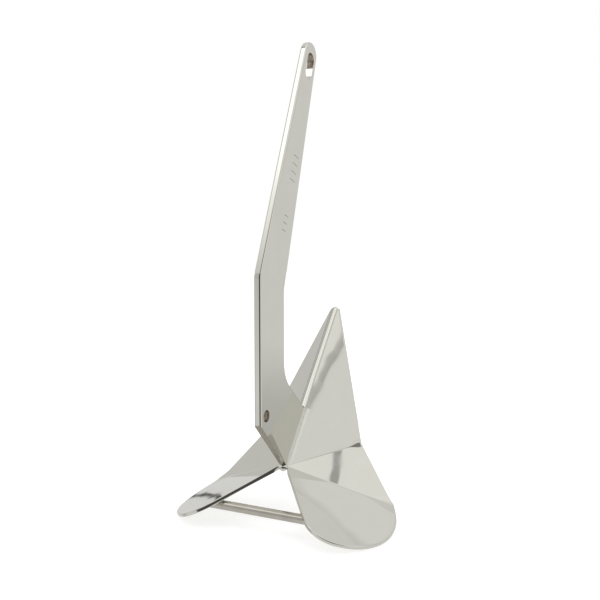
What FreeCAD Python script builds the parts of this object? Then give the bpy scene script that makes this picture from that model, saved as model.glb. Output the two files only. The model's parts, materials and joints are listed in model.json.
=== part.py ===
import FreeCAD, Part
import math
import os

# Plough anchor with a fixed, cranked shank, standing on its two fluke lobes.
# +X points forward (towards the nose), +Y to the left, +Z up.  The profile is
# drawn from the heel, the point where the shank's foot, the ridge and both
# trailing edges meet, and everything is moved at the end so that the origin is
# the middle of the bounding box's underside.  All sizes are in millimetres.

# Shank: a flat plate in the XZ plane.
shank_thickness = 8.0
shank_width = 52.0
shank_back_x = -56.0
bend_height = 201.0
back_lean = 23.5
front_lean = 17.3
eye_height = 442.0
eye_radius = 13.5
bend_radius = 14.0
throat_height = 114.0
throat_radius = 38.0
flare_slope = 41.0
heel_edge_slope = 45.0
edge_easing = 2.0
eye_forward = 1.0

# Shackle slot near the eye end and trip-line hole at the lower back corner.
slot_width = 15.0
slot_length = 30.0
slot_drop = 13.5
slot_lean = 20.4
hole_diameter = 12.5
hole_from_back = 11.5
hole_height = 64.0

# Flukes: one plate a side, folded along two creases that start at the heel.
# Each corner is measured from the heel; Y is the distance from the middle.
plate_thickness = 4.0
nose_x = 138.5
nose_z = 162.0
fold_x = 71.5
fold_y = 61.4
fold_z = 14.3
wing_x = 48.0
wing_y = 108.0
wing_z = -42.5
tail_x = -73.0
tail_y = 65.5
tail_z = -37.5
lobe_bulge = 38.2
tail_corner_radius = 32.0
nose_blunting = 3.0

# Ridge bar: carries the shank's line on from the foot to the tip.
crown_height = 1.6

# Nose ballast and the folded sheet that closes it in from below.
cover_thickness = 3.0
cover_reach = 0.88

# Crossbar under the roof, near the trailing edges.
crossbar_diameter = 10.0
crossbar_back = 46.0
crossbar_drop = 36.5

# Welds.
foot_weld_height = 6.5
foot_weld_spread = 4.0
heel_weld_radius = 5.0
bar_weld_leg = 2.0
weld_hollow = 0.3

V = FreeCAD.Vector
LEFT = 1
RIGHT = -1
half_thickness = shank_thickness / 2.0
far = 900.0


def rad(angle):
    return math.radians(angle)


def unit(vector):
    return V(vector).normalize()


def half_space_box(point, normal):
    """A large block that lies on the side of a plane its normal points to."""
    block = Part.makeBox(far, far, far, V(-far / 2, -far / 2, 0))
    block.Placement = FreeCAD.Placement(point, FreeCAD.Rotation(V(0, 0, 1), normal))
    return block


# ---------------------------------------------------------------- profile
ridge_length = math.hypot(nose_x, nose_z)
ridge_direction = V(nose_x, 0, nose_z) / ridge_length
ridge_up = V(-ridge_direction.z, 0, ridge_direction.x)


def ridge_point(along, above=0.0, y=0.0):
    point = ridge_direction * along + ridge_up * above
    return V(point.x, y, point.z)


def corner(x, y, z, side):
    return V(x, side * y, z)


def heel_point(side):
    return V(0, side * half_thickness, 0)


def nose_point(side):
    return V(nose_x, side * half_thickness, nose_z)


def facet_normal(first, second, side):
    normal = unit((first - heel_point(side)).cross(second - heel_point(side)))
    return normal if normal.z > 0 else normal * -1.0


def fluke_normals(side):
    fold = corner(fold_x, fold_y, fold_z, side)
    wing = corner(wing_x, wing_y, wing_z, side)
    tail = corner(tail_x, tail_y, tail_z, side)
    return (
        facet_normal(nose_point(side), fold, side),
        facet_normal(fold, wing, side),
        facet_normal(wing, tail, side),
    )


def ridge_depth():
    """Depth of a fluke plate's cut edge, square to the ridge."""
    normal = fluke_normals(RIGHT)[0]
    return plate_thickness / math.sqrt(1.0 - normal.y ** 2)


# ---------------------------------------------------------------- shank
def foot_length():
    """Where the flare of the shank's front edge runs out on the ridge."""
    flare = V(math.cos(rad(flare_slope)), 0, -math.sin(rad(flare_slope)))
    start = flare_start()
    across = flare.x * ridge_direction.z - flare.z * ridge_direction.x
    step = (start.z * ridge_direction.x - start.x * ridge_direction.z) / across
    end = start + flare * step
    return end.dot(ridge_direction)


def flare_start():
    """Lower end of the round throat, where the straight flare begins."""
    front_x = shank_back_x + shank_width
    turn = rad(90.0 - flare_slope)
    reach = throat_radius * (1.0 - math.cos(turn))
    fall = throat_radius * math.sin(turn)
    return V(front_x + reach, 0, throat_height - fall)


def eye_centre():
    lean = math.tan(rad((back_lean + front_lean) / 2.0))
    middle = shank_back_x + shank_width / 2.0
    return V(middle + lean * (eye_height - bend_height) + eye_forward, 0, eye_height)


def shank_outline():
    front_x = shank_back_x + shank_width
    eye = eye_centre()
    back_side = V(-math.cos(rad(back_lean)), 0, math.sin(rad(back_lean)))
    front_side = V(math.cos(rad(front_lean)), 0, -math.sin(rad(front_lean)))
    back_top = eye + back_side * eye_radius
    front_top = eye + front_side * eye_radius
    back_up = V(math.sin(rad(back_lean)), 0, math.cos(rad(back_lean)))
    front_up = V(math.sin(rad(front_lean)), 0, math.cos(rad(front_lean)))
    back_bend = back_top - back_up * ((back_top.x - shank_back_x) / back_up.x)
    front_bend = front_top - front_up * ((front_top.x - front_x) / front_up.x)
    heel_corner = V(shank_back_x, 0, -shank_back_x * math.tan(rad(heel_edge_slope)))
    start = flare_start()
    throat_top = V(front_x, 0, throat_height)
    middle_turn = rad(90.0 - flare_slope) / 2.0
    throat_middle = V(
        front_x + throat_radius * (1.0 - math.cos(middle_turn)),
        0,
        throat_height - throat_radius * math.sin(middle_turn),
    )
    depth = ridge_depth()
    edges = [
        Part.makeLine(ridge_point(depth, -depth), V(0, 0, 0)),
        Part.makeLine(V(0, 0, 0), heel_corner),
        Part.makeLine(heel_corner, back_bend),
        Part.makeLine(back_bend, back_top),
        Part.Arc(back_top, eye + V(0, 0, eye_radius), front_top).toShape(),
        Part.makeLine(front_top, front_bend),
        Part.makeLine(front_bend, throat_top),
        Part.Arc(throat_top, throat_middle, start).toShape(),
        Part.makeLine(start, ridge_point(foot_length())),
        Part.makeLine(ridge_point(foot_length()), ridge_point(foot_length(), -depth)),
        Part.makeLine(ridge_point(foot_length(), -depth), ridge_point(depth, -depth)),
    ]
    return Part.Wire(edges)


def plate_from(wire):
    plate = Part.Face(wire).extrude(V(0, shank_thickness, 0))
    plate.translate(V(0, -half_thickness, 0))
    return plate


def rounded_slot():
    """Cutter for the slot: a straight-sided hole with half-round ends."""
    straight = slot_length - slot_width
    body = Part.makeBox(slot_width, 3 * shank_thickness, straight, V(-slot_width / 2, 0, -straight / 2))
    for end in (-1, 1):
        centre = V(0, 0, end * straight / 2)
        body = body.fuse(Part.makeCylinder(slot_width / 2, 3 * shank_thickness, centre, V(0, 1, 0)))
    body.translate(V(0, -1.5 * shank_thickness, 0))
    body.rotate(V(0, 0, 0), V(0, 1, 0), slot_lean)
    body.translate(slot_centre())
    return body.removeSplitter()


def slot_centre():
    down = V(math.sin(rad(slot_lean)), 0, math.cos(rad(slot_lean))) * -slot_drop
    return eye_centre() + down


def hole_centre():
    return V(shank_back_x + hole_from_back, 0, hole_height)


def trip_hole():
    start = hole_centre() + V(0, -1.5 * shank_thickness, 0)
    return Part.makeCylinder(hole_diameter / 2, 3 * shank_thickness, start, V(0, 1, 0))


def make_shank():
    plate = plate_from(shank_outline())
    bends = [
        edge for edge in plate.Edges
        if is_across(edge) and abs(edge.CenterOfMass.z - bend_height) < 0.2 * bend_height
    ]
    plate = plate.makeFillet(bend_radius, bends)
    plate = plate.makeFillet(edge_easing, eased_shank_edges(plate))
    return plate.cut(rounded_slot()).cut(trip_hole())


def is_across(edge):
    box = edge.BoundBox
    return box.XLength < 1e-6 and box.ZLength < 1e-6


def eased_shank_edges(plate):
    """The long edges above the welds, on both faces."""
    return [
        edge for edge in plate.Edges
        if edge.BoundBox.YLength < 1e-6
        and edge.BoundBox.ZMin > throat_height / 2.0
    ]


# ---------------------------------------------------------------- flukes
def solve(rows, values):
    """The vector whose products with three rows are the three values."""
    first, second, third = rows
    matrix = FreeCAD.Matrix(
        first.x, first.y, first.z, 0,
        second.x, second.y, second.z, 0,
        third.x, third.y, third.z, 0,
        0, 0, 0, 1,
    )
    return matrix.inverse().multiply(V(*values))


def solid_from(faces):
    shell = Part.makeShell(faces)
    shell.sewShape()
    solid = Part.makeSolid(shell)
    if solid.Volume < 0:
        solid.reverse()
    return solid


def lobe_points(side):
    """Joints and middles of the two arcs that bound the round lobe."""
    heel = heel_point(side)
    wing = corner(wing_x, wing_y, wing_z, side)
    tail = corner(tail_x, tail_y, tail_z, side)
    along = unit(wing - heel)
    across = unit((tail - heel) - along * (tail - heel).dot(along))

    reach = (wing - heel).Length
    tail_run = (tail - heel).dot(along)
    tail_rise = (tail - heel).dot(across)
    half_chord = math.hypot(tail_run - reach, tail_rise) / 2.0
    lobe_radius = (half_chord ** 2 + lobe_bulge ** 2) / (2.0 * lobe_bulge)
    inset = lobe_radius - lobe_bulge
    centre_x = (reach + tail_run) / 2.0 - inset * tail_rise / (2.0 * half_chord)
    centre_y = tail_rise / 2.0 - inset * (reach - tail_run) / (2.0 * half_chord)

    tail_angle = math.atan2(tail_rise, tail_run)
    inner = lobe_radius - tail_corner_radius
    centre_along = centre_x * math.cos(tail_angle) + centre_y * math.sin(tail_angle)
    centre_off = centre_x * math.sin(tail_angle) - centre_y * math.cos(tail_angle)
    run = centre_along + math.sqrt(inner ** 2 - (centre_off - tail_corner_radius) ** 2)
    round_x = run * math.cos(tail_angle) + tail_corner_radius * math.sin(tail_angle)
    round_y = run * math.sin(tail_angle) - tail_corner_radius * math.cos(tail_angle)

    def on_circle(x, y, radius, angle):
        return heel + along * (x + radius * math.cos(angle)) + across * (y + radius * math.sin(angle))

    start = math.atan2(-centre_y, reach - centre_x)
    joint = math.atan2(round_y - centre_y, round_x - centre_x)
    end = tail_angle + math.pi / 2.0
    return {
        "lobe_middle": on_circle(centre_x, centre_y, lobe_radius, (start + joint) / 2.0),
        "lobe_end": on_circle(centre_x, centre_y, lobe_radius, joint),
        "tail_middle": on_circle(round_x, round_y, tail_corner_radius, (joint + end) / 2.0),
        "tail_end": on_circle(round_x, round_y, tail_corner_radius, end),
    }


def outline_edges(points):
    """The plate's outline on one surface, from the nose round to the heel and back."""
    return {
        "lead": Part.makeLine(points["nose"], points["fold"]),
        "wing": Part.makeLine(points["fold"], points["wing"]),
        "lobe": Part.Arc(points["wing"], points["lobe_middle"], points["lobe_end"]).toShape(),
        "tail": Part.Arc(points["lobe_end"], points["tail_middle"], points["tail_end"]).toShape(),
        "trail": Part.makeLine(points["tail_end"], points["heel"]),
        "ridge": Part.makeLine(points["heel"], points["nose"]),
    }


def facet_faces(points, edges):
    first_fold = Part.makeLine(points["heel"], points["fold"])
    second_fold = Part.makeLine(points["heel"], points["wing"])
    front = Part.Wire([edges["ridge"], edges["lead"], first_fold])
    middle = Part.Wire([first_fold, edges["wing"], second_fold])
    rear = Part.Wire([second_fold, edges["lobe"], edges["tail"], edges["trail"]])
    return [Part.Face(front), Part.Face(middle), Part.Face(rear)]


def folded_plate(side):
    """Three flat facets of one plate, with walls square to the outline."""
    front, middle, rear = fluke_normals(side)
    depth = plate_thickness
    upper = {
        "heel": heel_point(side),
        "nose": nose_point(side),
        "fold": corner(fold_x, fold_y, fold_z, side),
        "wing": corner(wing_x, wing_y, wing_z, side),
    }
    upper.update(lobe_points(side))
    lead = unit(upper["nose"] - upper["fold"])
    rim = unit(upper["fold"] - upper["wing"])
    drop = {name: rear * -depth for name in upper}
    drop["heel"] = solve((front, middle, rear), (-depth, -depth, -depth))
    drop["fold"] = solve((front, middle, lead), (-depth, -depth, 0))
    drop["nose"] = drop["fold"]
    drop["wing"] = solve((middle, rear, rim), (-depth, -depth, 0))
    lower = {name: point + drop[name] for name, point in upper.items()}
    upper_edges = outline_edges(upper)
    lower_edges = outline_edges(lower)
    faces = facet_faces(upper, upper_edges) + facet_faces(lower, lower_edges)
    for name in upper_edges:
        faces.append(Part.makeRuledSurface(upper_edges[name], lower_edges[name]))
    return solid_from(faces)


def beside_shank(side):
    """Everything on one side of the shank's face."""
    return half_space_box(V(0, side * half_thickness, 0), V(0, side, 0))


def behind_tip():
    return half_space_box(ridge_point(ridge_length - nose_blunting), ridge_direction * -1.0)


def under_facet(side, normal, above=0.0):
    """Everything below a facet's underside, or below a plane parallel to it."""
    surface = heel_point(side) + normal * (above - plate_thickness)
    return half_space_box(surface, normal * -1.0)


def make_fluke(side):
    plate = folded_plate(side).common(beside_shank(side)).common(behind_tip())
    return plate.removeSplitter()


# ---------------------------------------------------------------- ridge and nose
def make_ridge_bar():
    start = foot_length()
    depth = ridge_depth()
    low_left = ridge_point(start, -depth, half_thickness)
    low_right = ridge_point(start, -depth, -half_thickness)
    top_left = ridge_point(start, 0, half_thickness)
    top_right = ridge_point(start, 0, -half_thickness)
    crown = ridge_point(start, crown_height, 0)
    section = Part.Wire([
        Part.makeLine(top_right, low_right),
        Part.makeLine(low_right, low_left),
        Part.makeLine(low_left, top_left),
        Part.Arc(top_left, crown, top_right).toShape(),
    ])
    length = ridge_length - nose_blunting - start
    return Part.Face(section).extrude(ridge_direction * length)


def nose_space(cover_depth, rear_margin):
    """Space under the nose, above the cover's underside and ahead of its rear."""
    fold = corner(fold_x, fold_y, fold_z, RIGHT)
    nose = nose_point(RIGHT)
    front = fluke_normals(RIGHT)[0]
    middle = fluke_normals(RIGHT)[1]
    drop = solve((front, middle, unit(nose - fold)), (-plate_thickness, -plate_thickness, 0))
    edge = unit(nose - fold)
    outward = V(edge.z, 0, -edge.x).normalize()
    rim = fold + drop
    rear = nose + (fold - nose) * cover_reach
    forward = V(edge.x, 0, edge.z).normalize()
    space = half_space_box(rim - outward * cover_depth, outward * -1.0)
    space = space.common(half_space_box(rear + forward * rear_margin, forward))
    for side in (LEFT, RIGHT):
        space = space.common(under_facet(side, fluke_normals(side)[0]))
    below_bar = half_space_box(ridge_point(0, -ridge_depth()), ridge_up * -1.0)
    return space.common(below_bar).common(behind_tip())


def make_nose_ballast():
    return nose_space(cover_thickness, cover_thickness)


def make_nose_cover():
    return nose_space(0.0, 0.0).cut(make_nose_ballast())


# ---------------------------------------------------------------- crossbar
def make_crossbar():
    length = 2.0 * wing_y
    start = V(-crossbar_back, -length / 2.0, -crossbar_drop)
    bar = Part.makeCylinder(crossbar_diameter / 2.0, length, start, V(0, 1, 0))
    for side in (LEFT, RIGHT):
        bar = bar.common(under_facet(side, fluke_normals(side)[2]))
    return bar


def make_crossbar_weld(side, crossbar):
    """A collar of weld round the bar, on the underside of the lobe."""
    rear = fluke_normals(side)[2]
    start = V(-crossbar_back, side * half_thickness, -crossbar_drop)
    radius = crossbar_diameter / 2.0 + bar_weld_leg
    collar = Part.makeCylinder(radius, wing_y, start, V(0, side, 0))
    collar = collar.common(under_facet(side, rear))
    return collar.cut(under_facet(side, rear, -bar_weld_leg)).cut(crossbar)


# ---------------------------------------------------------------- welds
def hollow_fillet(root, first_leg, second_leg, sweep):
    """Weld along a corner: two legs and a slightly hollow face, extruded."""
    first_end = root + first_leg
    second_end = root + second_leg
    middle = (first_end + second_end) * 0.5
    middle = middle + (root - middle) * weld_hollow
    section = Part.Wire([
        Part.makeLine(root, first_end),
        Part.Arc(first_end, middle, second_end).toShape(),
        Part.makeLine(second_end, root),
    ])
    return Part.Face(section).extrude(sweep)


def make_foot_weld(side, shank, fluke):
    front = fluke_normals(side)[0]
    outward = unit(ridge_direction.cross(front))
    if outward.y * side < 0:
        outward = outward * -1.0
    root = heel_point(side)
    sweep = ridge_direction * foot_length()
    bead = hollow_fillet(root, ridge_up * foot_weld_height, outward * foot_weld_spread, sweep)
    return bead.cut(fluke).cut(shank)


def make_toe_weld(shank, ridge_bar):
    flare = V(-math.cos(rad(flare_slope)), 0, math.sin(rad(flare_slope)))
    root = ridge_point(foot_length(), 0, -half_thickness)
    sweep = V(0, shank_thickness, 0)
    bead = hollow_fillet(root, ridge_direction * foot_weld_height, flare * foot_weld_height, sweep)
    return bead.cut(shank).cut(ridge_bar)


def make_heel_weld(solids):
    start = V(0, -shank_thickness, 0)
    bead = Part.makeCylinder(heel_weld_radius, 2.0 * shank_thickness, start, V(0, 1, 0))
    for solid in solids:
        bead = bead.cut(solid)
    return bead


def only_solid(shape):
    """The single solid of a piece, taken out of the compound that a cut returns."""
    (solid,) = shape.Solids
    return solid


def make_parts():
    parts = {}
    parts["shank"] = make_shank()
    parts["fluke_left"] = make_fluke(LEFT)
    parts["fluke_right"] = make_fluke(RIGHT)
    parts["ridge_bar"] = make_ridge_bar()
    parts["nose_ballast"] = make_nose_ballast()
    parts["nose_cover"] = make_nose_cover()
    parts["crossbar"] = make_crossbar()
    for name, side in (("left", LEFT), ("right", RIGHT)):
        fluke = parts["fluke_" + name]
        parts["weld_foot_" + name] = make_foot_weld(side, parts["shank"], fluke)
        parts["weld_crossbar_" + name] = make_crossbar_weld(side, parts["crossbar"])
    parts["weld_toe"] = make_toe_weld(parts["shank"], parts["ridge_bar"])
    heel_solids = [
        parts["shank"], parts["fluke_left"], parts["fluke_right"],
        parts["weld_foot_left"], parts["weld_foot_right"],
    ]
    parts["weld_heel"] = make_heel_weld(heel_solids)
    return {name: only_solid(shape) for name, shape in parts.items()}


def main():
    parts = make_parts()
    box = FreeCAD.BoundBox()
    for shape in parts.values():
        box.add(shape.optimalBoundingBox(False, False))
    origin = V(box.Center.x, 0, box.ZMin)
    os.makedirs("parts", exist_ok=True)
    for name, shape in parts.items():
        shape.translate(origin * -1.0)
        shape.exportStep("parts/" + name + ".step")


main()
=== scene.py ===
import json
import math

import bmesh
import bpy
import numpy as np
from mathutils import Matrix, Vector


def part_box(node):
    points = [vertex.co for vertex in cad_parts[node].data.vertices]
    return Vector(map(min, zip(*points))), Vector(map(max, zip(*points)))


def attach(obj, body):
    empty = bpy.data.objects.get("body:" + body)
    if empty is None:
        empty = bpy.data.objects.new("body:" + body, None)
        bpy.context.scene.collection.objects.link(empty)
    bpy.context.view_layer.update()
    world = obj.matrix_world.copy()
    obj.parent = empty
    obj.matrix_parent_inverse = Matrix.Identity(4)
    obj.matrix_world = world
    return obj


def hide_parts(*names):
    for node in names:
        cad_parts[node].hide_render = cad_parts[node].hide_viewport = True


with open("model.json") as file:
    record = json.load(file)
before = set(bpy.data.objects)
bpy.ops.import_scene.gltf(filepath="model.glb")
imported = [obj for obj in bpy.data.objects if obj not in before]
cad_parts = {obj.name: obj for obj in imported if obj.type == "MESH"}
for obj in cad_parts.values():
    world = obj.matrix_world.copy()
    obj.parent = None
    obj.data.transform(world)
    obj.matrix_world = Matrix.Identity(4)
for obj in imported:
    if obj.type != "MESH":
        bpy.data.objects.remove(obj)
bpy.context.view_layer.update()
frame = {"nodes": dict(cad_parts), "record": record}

# ------------------------------------------------------------------ shank
# The shank is one plate of 316 stainless steel, cut to outline, eased along its edges and
# mirror polished.  The top of its shackle slot, its trip-line hole and its slanting lower
# edge were left as the cutter made them.  The CAD plate has the right shape and is kept.

shank_thickness = 0.008
slot_radius = 0.0075
slot_half_straight = 0.0075
slot_lean = math.radians(20.4)
hole_radius = 0.00625
rough_cut_above = 0.0015
wall_margin = 0.0001
edge_margin = 0.0003
heel_from_back = 0.056
bar_below_heel = 0.0365
haze_size = 0.02
polished_colour = "dbdad0"
hazy_colour = "e1e0d8"
cut_wall_colour = "8d8272"
worn_wall_colour = "b0a696"
cut_roughness = 0.42
cutter_grit = 0.0025
cutter_depth = 0.0004
lower_edge_left_rough = 0.55


def linear(colour):
    """The linear red, green, blue and alpha of an sRGB hex colour."""
    parts = np.array([int(colour[i:i + 2], 16) for i in (0, 2, 4)]) / 255.0
    light = np.where(parts <= 0.04045, parts / 12.92, ((parts + 0.055) / 1.055) ** 2.4)
    return (*light.tolist(), 1.0)


def add(tree, kind, inputs=None, **settings):
    """Adds one node; an input that is a socket is linked and any other is set."""
    node = tree.nodes.new("ShaderNode" + kind)
    for name, value in settings.items():
        setattr(node, name, value)
    for name, value in (inputs or {}).items():
        if isinstance(value, bpy.types.NodeSocket):
            tree.links.new(value, node.inputs[name])
        else:
            node.inputs[name].default_value = value
    return node


def new_material(name):
    """An empty node material, its tree and its Object coordinates."""
    material = bpy.data.materials.new(name)
    material.use_nodes = True
    tree = material.node_tree
    tree.nodes.clear()
    return material, tree, add(tree, "TexCoord").outputs["Object"]


def polished_nodes(tree, place, wave_height=0.00008, wave_length=0.04, shine=(0.01, 0.045)):
    """Colour, roughness and normal of hand-polished plate: a long low wave left by the
    wheel, which bends reflections, and a haze that comes and goes over 2 cm."""
    wave = add(tree, "TexNoise", {"Vector": place, "Scale": 1 / wave_length, "Detail": 1.0})
    haze = add(tree, "TexNoise", {"Vector": place, "Scale": 1 / haze_size, "Detail": 3.0})
    tone = add(tree, "Mix", {
        "Factor": haze.outputs["Fac"], 6: linear(polished_colour), 7: linear(hazy_colour),
    }, data_type="RGBA")
    rough = add(tree, "MapRange", {
        "Value": haze.outputs["Fac"],
        "From Min": 0.3, "From Max": 0.7, "To Min": shine[0], "To Max": shine[1],
    })
    bump = add(tree, "Bump", {
        "Height": wave.outputs["Fac"], "Distance": wave_height, "Strength": 1.0,
    })
    return tone, rough, bump


def polished_steel(name, **finish):
    """Polished 316 stainless.  The eye sees the room in it, only slightly bent and veiled."""
    material, tree, place = new_material(name)
    tone, rough, bump = polished_nodes(tree, place, **finish)
    shader = add(tree, "BsdfPrincipled", {
        "Base Color": tone.outputs[2], "Metallic": 1.0,
        "Roughness": rough.outputs["Result"], "Normal": bump.outputs["Normal"],
    })
    add(tree, "OutputMaterial", {"Surface": shader.outputs["BSDF"]})
    return material


def dress(piece, material):
    """Gives every slot of a piece one material."""
    piece.data.materials.clear()
    piece.data.materials.append(material)


def cut_wall(tree, place, centre, lean, half_straight, radius, lowest):
    """1 on the wall of a round-ended hole, above a height measured from its middle: how far
    a point lies, in the plate's plane, from the hole's middle line is compared with its radius."""
    near = add(tree, "VectorMath", {0: place, 1: centre}, operation="SUBTRACT")
    turned = add(tree, "VectorRotate", {
        "Vector": near.outputs[0], "Angle": -lean,
    }, rotation_type="Y_AXIS")
    parts = add(tree, "SeparateXYZ", {"Vector": turned.outputs[0]}).outputs
    height = add(tree, "Math", {0: parts["Z"]}, operation="ABSOLUTE").outputs[0]
    over = add(tree, "Math", {0: height, 1: half_straight}, operation="SUBTRACT").outputs[0]
    past = add(tree, "Math", {0: over, 1: 0.0}, operation="MAXIMUM").outputs[0]
    flat = add(tree, "CombineXYZ", {"X": parts["X"], "Z": past})
    reach = add(tree, "VectorMath", {0: flat.outputs[0]}, operation="LENGTH").outputs["Value"]
    wall = add(tree, "Math", {0: reach, 1: radius + wall_margin}, operation="LESS_THAN").outputs[0]
    above = add(tree, "Math", {0: parts["Z"], 1: lowest}, operation="GREATER_THAN").outputs[0]
    return add(tree, "Math", {0: wall, 1: above}, operation="MULTIPLY").outputs[0]


def heel_edge(tree, place):
    """1 on the shank's slanting lower edge, which runs from the heel at 45 degrees."""
    near = add(tree, "VectorMath", {0: place, 1: heel.tolist()}, operation="SUBTRACT")
    across = add(tree, "VectorMath", {
        0: near.outputs[0], 1: (1.0, 0.0, 1.0),
    }, operation="DOT_PRODUCT")
    off = add(tree, "Math", {0: across.outputs["Value"]}, operation="ABSOLUTE").outputs[0]
    return add(tree, "Math", {0: off, 1: edge_margin}, operation="LESS_THAN").outputs[0]


def mount_place(name):
    """Where the record puts a mount."""
    return next(mount["pos_m"] for mount in frame["record"]["mounts"] if mount["name"] == name)


def shank_steel():
    """Polished plate with walls as the cutter left them, which the eye sees as dull, gritty
    and brown against the bright faces.  The lower edge was partly buffed."""
    material, tree, place = new_material("polished_316_with_cut_edges")
    tone, rough, bump = polished_nodes(tree, place, wave_height=0.00006)
    slot = mount_place("shackle_slot")
    hole = mount_place("trip_line_hole")
    openings = add(tree, "Math", {
        0: cut_wall(tree, place, slot, slot_lean, slot_half_straight, slot_radius, rough_cut_above),
        1: cut_wall(tree, place, hole, 0.0, 0.0, hole_radius, -2.0 * hole_radius),
    }, operation="MAXIMUM").outputs[0]
    lightly_buffed = add(tree, "Math", {
        0: heel_edge(tree, place), 1: lower_edge_left_rough,
    }, operation="MULTIPLY").outputs[0]
    walls = add(tree, "Math", {0: openings, 1: lightly_buffed}, operation="MAXIMUM").outputs[0]
    scale = add(tree, "TexNoise", {"Vector": place, "Scale": 1 / cutter_grit, "Detail": 4.0})
    patch = add(tree, "MapRange", {
        "Value": scale.outputs["Fac"], "From Min": 0.35, "From Max": 0.6,
    })
    stain = add(tree, "Mix", {
        "Factor": patch.outputs["Result"], 6: linear(cut_wall_colour), 7: linear(worn_wall_colour),
    }, data_type="RGBA")
    colour = add(tree, "Mix", {
        "Factor": walls, 6: tone.outputs[2], 7: stain.outputs[2],
    }, data_type="RGBA")
    dull = add(tree, "Mix", {"Factor": walls, 2: rough.outputs["Result"], 3: cut_roughness})
    grit = add(tree, "Bump", {
        "Height": scale.outputs["Fac"], "Distance": cutter_depth,
        "Strength": walls, "Normal": bump.outputs["Normal"],
    })
    shader = add(tree, "BsdfPrincipled", {
        "Base Color": colour.outputs[2], "Metallic": 1.0,
        "Roughness": dull.outputs[0], "Normal": grit.outputs["Normal"],
    })
    add(tree, "OutputMaterial", {"Surface": shader.outputs["BSDF"]})
    return material


crossbar_height = sum(corner.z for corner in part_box("crossbar")) / 2
heel = np.array([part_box("shank")[0].x + heel_from_back, 0.0, crossbar_height + bar_below_heel])
plate_steel = polished_steel("mirror_polished_316_plate")
frame["nodes"]["shank"].data.materials[0] = shank_steel()

# ------------------------------------------------------------------ flukes
# Each fluke is one 4 mm plate of 316 stainless, cut flat, folded twice along creases that
# start at the heel, and mirror polished.  Both folds are tight at the heel and open to a
# soft bend near the rim.  The corners below are measured from the heel, for the left side.

half = shank_thickness / 2
plate = 0.004
corners = np.array([
    [0.1385, half, 0.162],
    [0.0715, 0.0614, 0.0143],
    [0.048, 0.108, -0.0425],
    [-0.073, 0.0655, -0.0375],
])
lobe_radius = 0.073
tail_radius = 0.032
tip_cut = 0.003
tip_back = 0.0028
edge_radius = 0.0009
# For each fold: half its width at the heel and at the rim, both in radians about the heel,
# and the share of the crease's length at which it starts to open.
fold_halves = ((0.012, 0.11, 0.8), (0.014, 0.13, 0.72))


def unit(vector):
    return vector / np.linalg.norm(vector, axis=-1, keepdims=True)


class Fold:
    """A fluke as its flat blank, with x along the ridge, and the bend that folds it."""

    def __init__(self, side):
        self.side = side
        self.start = heel + [0.0, side * half, 0.0]
        rays = corners * [1, side, 1] - [0.0, side * half, 0.0]
        self.lengths = np.linalg.norm(rays, axis=1)
        rays = unit(rays)
        steps = np.arccos(np.sum(rays[:-1] * rays[1:], axis=1))
        self.angles = np.concatenate([[0.0], np.cumsum(steps)])
        turns = unit(rays[1:] - rays[:-1] * np.cos(steps)[:, None])
        ends = turns * np.cos(steps)[:, None] - rays[:-1] * np.sin(steps)[:, None]
        self.first, self.turn = rays[0], turns[0]
        self.kinks = turns[1:] - ends[:-1]

    def bend(self, flat, depth):
        """A flat point at distance R and angle a from the heel goes to R times the
        direction d(a).  d turns in the first facet's plane, and past each crease the
        difference to the next facet's plane is added, eased in by a parabola over the
        bend's width, which opens out near the rim.  Depth is then measured along the
        normal, which is d crossed with its slope."""
        reach = np.hypot(flat[..., 0], flat[..., 1])[..., None]
        angle = np.arctan2(flat[..., 1], flat[..., 0])[..., None]
        way = np.cos(angle) * self.first + np.sin(angle) * self.turn
        slope = np.cos(angle) * self.turn - np.sin(angle) * self.first
        creases = zip(self.angles[1:3], self.kinks, self.lengths[1:3], fold_halves)
        for crease, kink, length, (tight, loose, opens) in creases:
            part = np.clip((reach / length - opens) / (1 - opens), 0, 1)
            half_width = tight + (loose - tight) * part ** 2 * (3 - 2 * part)
            x = np.sin(angle - crease) / half_width
            x = np.where(angle > crease + 0.5, 9.0, x)
            inside = np.clip((x + 1) / 2, 0, 1)
            share = np.where(x >= 1, np.sin(angle - crease), half_width * inside ** 2)
            way = way + kink * share
            slope = slope + kink * inside * np.cos(angle - crease)
        normal = unit(np.cross(way, slope)) * self.side
        return self.start + unit(way) * reach - normal * np.asarray(depth)[..., None]


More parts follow.
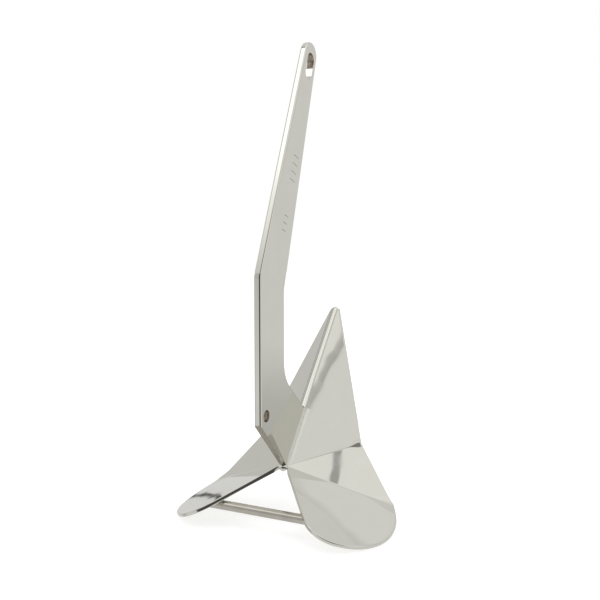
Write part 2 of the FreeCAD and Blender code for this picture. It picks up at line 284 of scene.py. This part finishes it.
def blank_outline(fold):
    """The blank's rim, from the tip round the lobe to the end of the trailing edge:
    straight runs, and two arcs that meet each other and the trailing edge smoothly."""
    tip, crease, wing, tail = [
        np.array([r * math.cos(a), r * math.sin(a)]) for r, a in zip(fold.lengths, fold.angles)
    ]
    tip_in = np.array([tip[0] - tip_cut - tip_back, 0.0])
    share = (tip_cut + 2.2 * tip_back) / (tip[0] - crease[0])
    tip_out = tip + (crease - tip) * share
    bow = np.array([tip[0] - tip_cut - tip_back, (tip_out - tip)[1] * 0.62])
    along = unit(wing)
    across = np.array([-along[1], along[0]])
    reach = fold.lengths[2]
    tail_run, tail_rise = tail @ along, tail @ across
    chord = math.hypot(tail_run - reach, tail_rise) / 2
    inset = math.sqrt(lobe_radius ** 2 - chord ** 2)
    centre = np.array([
        (reach + tail_run) / 2 - inset * tail_rise / (2 * chord),
        tail_rise / 2 - inset * (reach - tail_run) / (2 * chord),
    ])
    tail_angle = math.atan2(tail_rise, tail_run)
    trail = np.array([math.cos(tail_angle), math.sin(tail_angle)])
    off = centre[0] * trail[1] - centre[1] * trail[0]
    run = centre @ trail + math.sqrt((lobe_radius - tail_radius) ** 2 - (off - tail_radius) ** 2)
    small = trail * run + np.array([trail[1], -trail[0]]) * tail_radius
    start = math.atan2(-centre[1], reach - centre[0])
    joint = math.atan2(*(small - centre)[::-1])
    end = tail_angle + math.pi / 2
    ring = [
        centre + lobe_radius * circle(np.linspace(start, joint, 90)),
        small + tail_radius * circle(np.linspace(joint, end, 40))[1:],
    ]
    lobe = np.concatenate(ring)
    lobe = lobe[:, :1] * along + lobe[:, 1:] * across
    near = np.concatenate([np.linspace(0, 0.95, 50), np.linspace(0.955, 1, 14)])
    return np.concatenate([
        three_point(tip_in, bow, tip_out, np.linspace(0, 1, 9))[:-1],
        run_between(tip_out, crease, near)[:-1],
        run_between(crease, wing, np.unique(np.concatenate([1 - near, near])))[:-1],
        lobe,
    ])


def circle(angle):
    return np.stack([np.cos(angle), np.sin(angle)], axis=-1)


def run_between(first, last, share):
    return first + (last - first) * share[:, None]


def three_point(first, middle, last, share):
    """A smooth curve from the first point to the last that leans on the middle one."""
    share = share[:, None]
    return (1 - share) ** 2 * first + 2 * share * (1 - share) * middle + share ** 2 * last


def inward(points, insets):
    """Moves each corner of a closed line in, so that each side moves in by its inset."""
    sides = np.roll(points, -1, axis=0) - points
    outward = unit(np.stack([sides[:, 1], -sides[:, 0]], axis=-1))
    pairs = np.stack([np.roll(outward, 1, axis=0), outward], axis=1)
    wanted = np.stack([np.roll(insets, 1), insets], axis=1)[..., None]
    return points - (np.linalg.pinv(pairs, rcond=0.05) @ wanted)[..., 0]


def mesh_piece(name, grids, material):
    """A closed mesh from grids of points whose edges meet, as one rigid piece."""
    points, faces, used = [], [], 0
    for grid in grids:
        rows, columns = grid.shape[:2]
        index = used + np.arange(rows * columns).reshape(rows, columns)
        quads = [index[:-1, :-1], index[1:, :-1], index[1:, 1:], index[:-1, 1:]]
        faces.append(np.stack(quads, axis=-1).reshape(-1, 4))
        points.append(grid.reshape(-1, 3))
        used += rows * columns
    mesh = bpy.data.meshes.new(name)
    mesh.from_pydata(np.concatenate(points).tolist(), [], np.concatenate(faces).tolist())
    shape = bmesh.new()
    shape.from_mesh(mesh)
    bmesh.ops.remove_doubles(shape, verts=shape.verts, dist=2e-6)
    bmesh.ops.recalc_face_normals(shape, faces=shape.faces)
    shape.to_mesh(mesh)
    shape.free()
    mesh.polygons.foreach_set("use_smooth", np.ones(len(mesh.polygons), bool))
    mesh.set_sharp_from_angle(angle=math.radians(35))
    piece = bpy.data.objects.new(name, mesh)
    bpy.context.scene.collection.objects.link(piece)
    modifier = piece.modifiers.new("even_normals", "WEIGHTED_NORMAL")
    modifier.weight = 80
    modifier.keep_sharp = True
    dress(piece, material)
    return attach(piece, "root")


def fluke_grids(side):
    """Rings round the rim roll over its rounded edges from the top to the underside;
    straight lines from each ring's heel point to the rim fill both surfaces."""
    fold = Fold(side)
    rim = blank_outline(fold)
    loop = np.concatenate([[[0.0, 0.0]], rim])
    roll = np.radians([0, 22.5, 45, 67.5, 90])
    insets = edge_radius * (1 - np.sin(roll))
    depths = edge_radius * (1 - np.cos(roll))
    insets = np.concatenate([insets, insets[::-1]])
    depths = np.concatenate([depths, plate - depths[::-1]])
    normal = unit(np.cross(fold.first, fold.turn))
    mitre = abs(normal[1]) / math.sqrt(1 - normal[1] ** 2)
    share = np.concatenate([np.linspace(0, 0.97, 30), [0.985, 1.0]])

    def ring_at(inset, depth):
        """The rim moved in all round, except along the ridge, where the mitre moves it."""
        end = inward(loop, np.full(len(loop), inset))[-1]
        sides = np.full(len(loop), inset)
        sides[0] = depth * mitre
        sides[-1] = 0.0
        ring = inward(loop, sides)
        ring[-1] = end
        return ring

    rings = []
    for inset, depth in zip(insets, depths):
        ring = ring_at(inset, depth)
        ring = np.concatenate([
            run_between(ring[0], ring[1], share)[:-1],
            ring[1:],
            run_between(ring[-1], ring[0], 1 - share[::-1])[1:],
        ])
        rings.append(fold.bend(ring, np.full(len(ring), depth)))
    band = np.stack(rings)
    faces = []
    for index in (0, -1):
        ring = ring_at(insets[index], depths[index])
        flat = ring[0] + (ring[1:] - ring[0])[None] * share[:, None, None]
        faces.append(fold.bend(flat, np.full(flat.shape[:2], depths[index])))
    return [band, *faces]


fluke_left = mesh_piece("fluke_left_plate", fluke_grids(1), plate_steel)
fluke_right = mesh_piece("fluke_right_plate", fluke_grids(-1), plate_steel)
for piece, node in ((fluke_left, "fluke_left"), (fluke_right, "fluke_right")):
    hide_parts(node)

# ------------------------------------------------------------------ ridge bar
# An 8 mm bar of 316 stainless closes the gap between the flukes' upper edges, from
# the shank's foot to the tip.  Its crown is ground round and polished with them.

along = unit(corners[0] * [1, 0, 1])
above = np.array([-along[2], 0.0, along[0]])
foot_end = 0.0703
bar_end = math.hypot(corners[0][0], corners[0][2]) - tip_cut
bar_depth = 0.0051
crown = 0.0016
shoulder_drop = 0.0012
tip_radius = 0.0038


def on_ridge(run, y, height):
    """The point at that run along the ridge, that far to the left and that far above it."""
    left = np.array([0.0, 1.0, 0.0])
    return heel + run[..., None] * along + height[..., None] * above + y[..., None] * left


def ridge_grids():
    """The bar's section, a flat-sided strip whose top is half an ellipse, is carried up
    the ridge; over the last few millimetres its top falls as a quarter circle."""
    turn = np.linspace(0, np.pi, 33)
    across = np.concatenate([[-half, -half], -half * np.cos(turn), [half, half]])
    rise = np.concatenate([[0.0, 0.5], np.full(33, 0.75), [0.5, 0.0]])
    swell = np.concatenate([[0.0, 0.0], np.sin(turn) ** 0.8, [0.0, 0.0]])
    run = np.concatenate([
        np.linspace(foot_end - 0.004, bar_end - tip_radius, 60),
        bar_end - tip_radius + tip_radius * np.sin(np.linspace(0, np.pi / 2, 12))[1:],
    ])
    over = np.clip((run - (bar_end - tip_radius)) / tip_radius, 0, 1)
    fall = tip_radius * (1 - np.sqrt(1 - over ** 2))
    top = -shoulder_drop - fall
    height = (-bar_depth + (top[:, None] + bar_depth) * (rise / 0.75)
              + swell * (crown + shoulder_drop))
    plan = np.sqrt(np.clip(1 - over ** 2, 0.0, 1))[:, None]
    y = across * (0.05 + 0.95 * plan)
    skin = on_ridge(np.broadcast_to(run[:, None], height.shape), y, height)
    skin = np.concatenate([skin, skin[:, :1]], axis=1)
    ends = [np.stack([row, np.broadcast_to(row.mean(axis=0), row.shape)])
            for row in (skin[0], skin[-1])]
    return [skin, *ends]


ridge = mesh_piece("ridge_bar_polished", ridge_grids(), plate_steel)
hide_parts("ridge_bar")

# ------------------------------------------------------------------ nose
# Assumed, because the underside is hidden: a cast lead block under the nose, and a folded
# 3 mm stainless sheet that closes it in.  Both keep their CAD shape.

# Raw cast lead looks dull, blue-grey and slightly pitted.
cast_lead, tree, place = new_material("cast_lead_ballast")
grain = add(tree, "TexNoise", {"Vector": place, "Scale": 1 / 0.004, "Detail": 6.0})
skin = add(tree, "Mix", {
    "Factor": grain.outputs["Fac"], 6: linear("6b6e72"), 7: linear("8b8d8f"),
}, data_type="RGBA")
pits = add(tree, "Bump", {"Height": grain.outputs["Fac"], "Distance": 0.0006})
shader = add(tree, "BsdfPrincipled", {
    "Base Color": skin.outputs[2], "Metallic": 1.0,
    "Roughness": 0.55, "Normal": pits.outputs["Normal"],
})
add(tree, "OutputMaterial", {"Surface": shader.outputs["BSDF"]})
frame["nodes"]["nose_ballast"].data.materials[0] = cast_lead


def brushed_steel(name, colour, line_length, line_gap, rough):
    """Stainless with fine lines left by a belt or a die, which smear its reflections across
    the lines: noise that is long one way and short the other moves the roughness and
    lifts the surface by 0.02 mm."""
    material, tree, place = new_material(name)
    lines = add(tree, "TexNoise", {
        "Vector": add(tree, "Mapping", {
            "Vector": place, "Scale": (1 / line_gap, 1 / line_length, 1 / line_gap),
        }).outputs[0],
        "Scale": 1.0, "Detail": 3.0,
    })
    cloud = add(tree, "TexNoise", {"Vector": place, "Scale": 1 / 0.012, "Detail": 3.0})
    tone = add(tree, "Mix", {
        "Factor": cloud.outputs["Fac"], 6: linear(colour[0]), 7: linear(colour[1]),
    }, data_type="RGBA")
    dull = add(tree, "MapRange", {
        "Value": lines.outputs["Fac"], "To Min": rough[0], "To Max": rough[1],
    })
    bump = add(tree, "Bump", {"Height": lines.outputs["Fac"], "Distance": 0.00002})
    shader = add(tree, "BsdfPrincipled", {
        "Base Color": tone.outputs[2], "Metallic": 1.0,
        "Roughness": dull.outputs["Result"], "Normal": bump.outputs["Normal"],
    })
    add(tree, "OutputMaterial", {"Surface": shader.outputs["BSDF"]})
    return material


frame["nodes"]["nose_cover"].data.materials[0] = brushed_steel(
    "belt_ground_316_sheet", ("bdb9b0", "d2cfc8"), 0.03, 0.0006, (0.15, 0.3))

# ------------------------------------------------------------------ crossbar
# A 10 mm drawn 316 bar ties the two lobes together.  It is bright but not polished,
# and its ends are cut to lie against the undersides of the lobes.

bar_radius = 0.005
bar_centre = heel + [-0.046, 0.0, -bar_below_heel]
rear_normal = unit(np.cross(corners[3] - [0, half, 0], corners[2] - [0, half, 0]))
rear_normal = rear_normal * np.sign(rear_normal[2])


def bar_ring(angle, radius):
    """Where lines along the bar, at that radius, meet the left lobe's underside."""
    x, z = radius * np.cos(angle), radius * np.sin(angle)
    point = bar_centre + np.stack([x, np.zeros_like(x), z], axis=-1)
    under = heel + [0.0, half, 0.0] - rear_normal * plate
    y = ((under - point) @ rear_normal) / rear_normal[1]
    return np.stack([point[..., 0], y, point[..., 2]], axis=-1)


def crossbar_grids():
    """Rings from one lobe to the other, whose radius ripples very slightly, and an end
    face at each lobe."""
    angle = np.linspace(0, 2 * np.pi, 65)
    share = np.linspace(-1, 1, 41)[:, None]
    radius = bar_radius * (1 - 0.006 * np.cos(share * 9.0) ** 2) * np.ones_like(angle)
    rings = bar_ring(angle, radius)
    rings[..., 1] = bar_ring(angle, bar_radius * np.ones_like(angle))[..., 1] * share
    ends = [np.stack([rings[i], np.broadcast_to(rings[i].mean(axis=0), rings[i].shape)])
            for i in (0, -1)]
    return [rings, *ends]


drawn_bar = brushed_steel("drawn_316_bar", ("b3aea3", "cbc7bd"), 0.05, 0.0008, (0.1, 0.22))
crossbar = mesh_piece("crossbar_drawn", crossbar_grids(), drawn_bar)
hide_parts("crossbar")

# ------------------------------------------------------------------ welds
# Welds in stainless filler, all buffed: a hollow fillet round the shank's foot, a small nub
# at the heel, and a rippled collar at each end of the crossbar.

# Buffed weld metal keeps short ripples, so it breaks reflections up and looks softer.
weld_steel = polished_steel(
    "polished_316_weld", wave_height=0.0003, wave_length=0.006, shine=(0.08, 0.2))
foot_height = 0.005
foot_spread = 0.0065
weld_bite = 0.0005
collar_radius = 0.002
nub_radius = 0.0046
flare = math.radians(41)


def closed_tube(path, first, second, section):
    """A closed section carried along a path: each point is the path's point, plus the
    section's two measures along the two directions given there.  The ends are filled."""
    skin = path[:, None] + section[..., :1] * first[:, None] + section[..., 1:] * second[:, None]
    skin = np.concatenate([skin, skin[:, :1]], axis=1)
    ends = [np.stack([row, np.broadcast_to(row.mean(axis=0), row.shape)])
            for row in (skin[0], skin[-1])]
    return [skin, *ends]


def foot_weld_grids():
    """The path goes up the left side of the foot, round its front and down the right
    side.  The hollow face runs out smoothly on both legs, as a parabola does, and
    the legs swell and shrink a little along the bead."""
    turn = np.linspace(0, np.pi, 25)
    up_side = np.linspace(0.001, foot_end - weld_bite, 80)
    still = np.zeros_like(up_side)
    run = np.concatenate([up_side, np.full(len(turn), foot_end), up_side[::-1]])
    y = np.concatenate([still + half, half * np.cos(turn), still - half])
    front = np.concatenate([still, np.sin(turn), still])
    side = np.concatenate([still + 1, np.cos(turn), still - 1])
    path = on_ridge(run, y, np.zeros_like(run))
    fold = Fold(1)
    outward = fold.turn * side[:, None]
    outward[:, 0] = fold.turn[0] * np.abs(side)
    outward[:, 2] = fold.turn[2] * np.abs(side)
    up_edge = np.array([-math.cos(flare), 0.0, math.sin(flare)])
    first = unit(above * (1 - front[:, None]) + up_edge * front[:, None])
    second = unit(outward + along * front[:, None])
    beads = 1 + 0.012 * np.sin(np.linspace(0, 46 * np.pi, len(run)))
    taper = np.clip(np.minimum(run / 0.01, 1), 0.25, 1)
    arc = np.linspace(0, 1, 13)
    up = foot_height * (1 - arc) ** 2
    out = foot_spread * arc ** 2
    section = np.concatenate([np.stack([up, out], axis=-1), [[-weld_bite, -weld_bite]]])
    section = section[None] * (beads * taper)[:, None, None]
    return closed_tube(path, first, second, section)


foot_weld = mesh_piece("foot_weld_bead", foot_weld_grids(), weld_steel)
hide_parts("weld_foot_left", "weld_foot_right", "weld_toe")


def collar_grids(side):
    """A closed tube round the line where the bar meets the lobe, with a ripple for
    each dip of the filler rod."""
    angle = np.linspace(0, 2 * np.pi, 121)[:, None]
    line = bar_ring(angle, bar_radius + 0.0004) * [1, side, 1]
    round_bar = np.concatenate([np.cos(angle), np.zeros_like(angle), np.sin(angle)], axis=-1)
    lobe_normal = rear_normal * [1, side, 1]
    first = unit(round_bar - (round_bar @ lobe_normal)[:, None] * lobe_normal)
    turn = np.linspace(0, 2 * np.pi, 25)
    radius = collar_radius * 0.9 * (1 + 0.07 * np.sin(22 * angle))
    return [line[:, 0][:, None] + radius[..., None] * (
        np.cos(turn)[None, :, None] * first[:, None] + np.sin(turn)[None, :, None] * lobe_normal
    )]


for side, word in ((1, "left"), (-1, "right")):
    collar = mesh_piece("crossbar_weld_" + word, collar_grids(side), weld_steel)
    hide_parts("weld_crossbar_" + word)


def nub_grids():
    """A ball whose radius rises and falls a little with both angles."""
    down, round_ = np.meshgrid(
        np.linspace(0, np.pi, 33), np.linspace(0, 2 * np.pi, 65), indexing="ij")
    radius = nub_radius * (
        1 + 0.06 * np.sin(3 * round_) * np.sin(down) ** 2 + 0.05 * np.cos(4 * down))
    across, forward = np.sin(down) * np.sin(round_), np.sin(down) * np.cos(round_)
    ball = np.stack([forward, 1.15 * across, np.cos(down)], axis=-1)
    return [heel - [0.0005, 0, 0.0015] + radius[..., None] * ball]


nub = mesh_piece("heel_weld_nub", nub_grids(), weld_steel)
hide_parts("weld_heel")

# ------------------------------------------------------------------ tally marks
# Two groups of plain strokes, which spell nothing, stand in for the characters stamped on
# the shank's right side.  Each is a dull grey burr that stands just proud of the plate.

engraved = brushed_steel("engraved_burr_316", ("6f6c66", "8c8982"), 0.002, 0.0004, (0.35, 0.5))
stroke_radius = 0.0004
stroke_forward = 0.004
up_shank = np.array([math.sin(slot_lean), 0.0, math.cos(slot_lean)])
over_shank = np.array([math.cos(slot_lean), 0.0, -math.sin(slot_lean)])
slot_middle = np.array(mount_place("shackle_slot"))
# For each group: how many strokes, how far below the slot it starts, their spacing and length.
stroke_groups = ((4, 0.105, 0.009, 0.013), (3, 0.172, 0.008, 0.009))


def stroke_grids(centre, length):
    """A round rod that thins to a point at both ends as a circle does, sunk by most of
    its thickness into the plate's face."""
    share = np.linspace(-1, 1, 41)
    radius = stroke_radius * np.sqrt(np.clip(1 - share ** 8, 0, 1))
    turn = np.linspace(0, 2 * np.pi, 17)
    bow = 0.0004 * np.cos(share * np.pi / 2)
    spine = centre + share[:, None] * over_shank * length / 2 + bow[:, None] * up_shank
    spine[:, 1] = -half + 0.62 * stroke_radius
    ring = (np.cos(turn)[None, :, None] * up_shank
            + np.sin(turn)[None, :, None] * np.array([0.0, -1.0, 0.0]))
    return [spine[:, None] + radius[:, None, None] * ring]


number = 0
for count, start, spacing, length in stroke_groups:
    for down in start + spacing * np.arange(count):
        number += 1
        middle = slot_middle - down * up_shank + stroke_forward * over_shank
        stroke = mesh_piece("tally_mark_" + str(number), stroke_grids(middle, length), engraved)

# ------------------------------------------------------------------ studio
# A plain white floor in a round white studio.  Soft bright and dark patches, and dark seams
# between panels, are each aimed where one polished face mirrors them towards the camera, so
# they shape that view's reflections.  The camera itself sees plain white behind the anchor.

floor_mesh = bpy.data.meshes.new("floor")
floor_mesh.from_pydata([(-4, -4, 0), (4, -4, 0), (4, 4, 0), (-4, 4, 0)], [], [(0, 1, 2, 3)])
floor = bpy.data.objects.new("floor", floor_mesh)
bpy.context.scene.collection.objects.link(floor)
paper, tree, place = new_material("white_paper")
shader = add(tree, "BsdfPrincipled", {
    "Base Color": linear("e6e6e6"), "Roughness": 0.9,
    "Emission Color": (1, 1, 1, 1), "Emission Strength": 0.62,
})
add(tree, "OutputMaterial", {"Surface": shader.outputs["BSDF"]})
dress(floor, paper)
floor.visible_glossy = False

world = bpy.data.worlds.new("studio")
bpy.context.scene.world = world
world.use_nodes = True
tree = world.node_tree
tree.nodes.clear()
look = add(tree, "TexCoord").outputs["Generated"]


def soft_region(azimuth, elevation, inner, outer, amount):
    """A round patch of the surroundings that many degrees wide, fading at its rim."""
    axis = tuple(heading(azimuth, elevation).tolist())
    facing = add(tree, "VectorMath", {0: look, 1: axis}, operation="DOT_PRODUCT")
    return add(tree, "MapRange", {
        "Value": facing.outputs["Value"], "From Min": math.cos(math.radians(outer)),
        "From Max": math.cos(math.radians(inner)), "To Min": 0.0, "To Max": amount,
    }, interpolation_type="SMOOTHSTEP").outputs["Result"]


def heading(azimuth, elevation):
    """The unit vector that points that way."""
    a, e = math.radians(azimuth), math.radians(elevation)
    return np.array([math.cos(a) * math.cos(e), math.sin(a) * math.cos(e), math.sin(e)])


def seam(first, second, half_width, dark, step, around, reach):
    """A dark seam between two of the studio's panels, along the line from one direction
    to another, with a step in brightness across it, both fading out round a middle."""
    across = unit(np.cross(heading(*first), heading(*second)))
    facing = add(tree, "VectorMath", {0: look, 1: tuple(across.tolist())}, operation="DOT_PRODUCT")
    off = facing.outputs["Value"]
    width = math.radians(half_width)
    distance = add(tree, "Math", {0: off}, operation="ABSOLUTE").outputs[0]
    line = add(tree, "MapRange", {
        "Value": distance,
        "From Min": 0.6 * width, "From Max": width, "To Min": dark, "To Max": 0.0,
    }).outputs["Result"]
    side = add(tree, "MapRange", {
        "Value": off, "From Min": -0.5 * width, "From Max": 0.5 * width,
        "To Min": 0.0, "To Max": step,
    }).outputs["Result"]
    here = soft_region(*around, 0.6 * reach, reach, 1.0)
    shade = add(tree, "Math", {0: line, 1: side}, operation="ADD").outputs[0]
    return add(tree, "Math", {0: shade, 1: here}, operation="MULTIPLY").outputs[0]


light = 0.93
# Each patch: azimuth, elevation, inner and outer radius in degrees, and how much it adds.
for patch in (
    (140, 58, 12, 17, 0.5), (138, 50, 8, 14, 0.45), (-150, 66, 10, 15, 0.4),
    (-100, 52, 26, 40, 0.22), (0, 90, 14, 30, 0.1),
    (150, 12, 10, 24, -0.22), (-154, 4, 34, 46, -0.84), (64, 11, 14, 22, -0.12),
    (-107, 51.5, 2.5, 5, -0.85), (18, 24, 12, 15, -0.35), (95, 44, 12, 15, -0.35),
    (-62, 24, 10, 14, -0.3), (-28, -24, 10, 16, -0.25), (100, -16, 16, 26, -0.3),
):
    light = add(tree, "Math", {0: light, 1: soft_region(*patch)}, operation="ADD").outputs[0]
# Each seam: two directions on it, half its width, how dark it is, the step across it, and
# the middle and radius of the stretch that shows.
for crossing in (
    ((-100, 47.4), (-105.8, 44.6), 0.33, -0.42, -0.12, (-102, 46), 16),
    ((-98.4, 58.4), (-99.9, 57.6), 0.36, -0.6, 0.0, (-99, 58), 8),
    ((-4, 43.2), (-9.3, 42.2), 0.3, -0.08, 0.09, (-8, 42), 5),
    ((40.3, -1.0), (41.3, -2.4), 0.16, -0.85, 0.0, (40.8, -1.6), 2.4),
    ((129.2, 56.4), (121.6, 61.6), 3.5, -0.9, 0.0, (125.5, 59.2), 9),
):
    light = add(tree, "Math", {0: light, 1: seam(*crossing)}, operation="ADD").outputs[0]
studio = add(tree, "Background", {"Strength": light})
seen = add(tree, "Background", {"Strength": 1.0, "Color": (1, 1, 1, 1)})
ray = add(tree, "LightPath").outputs["Is Camera Ray"]
mixed = add(tree, "MixShader", {0: ray, 1: studio.outputs[0], 2: seen.outputs[0]})
add(tree, "OutputWorld", {"Surface": mixed.outputs[0]})

camera_distance = 0.88
camera_data = bpy.data.cameras.new("camera")
camera_data.lens = 48
camera_data.sensor_width = 36
camera = bpy.data.objects.new("camera", camera_data)
target = heel + [0.04017, 0.0, 0.17542]
towards = np.array([-0.8918, -0.4429, 0.0925])
camera.location = (target + camera_distance * towards).tolist()
camera.rotation_euler = Vector((-towards).tolist()).to_track_quat("-Z", "Y").to_euler()
bpy.context.scene.collection.objects.link(camera)
bpy.context.scene.camera = camera
bpy.context.scene.view_settings.view_transform = "Standard"
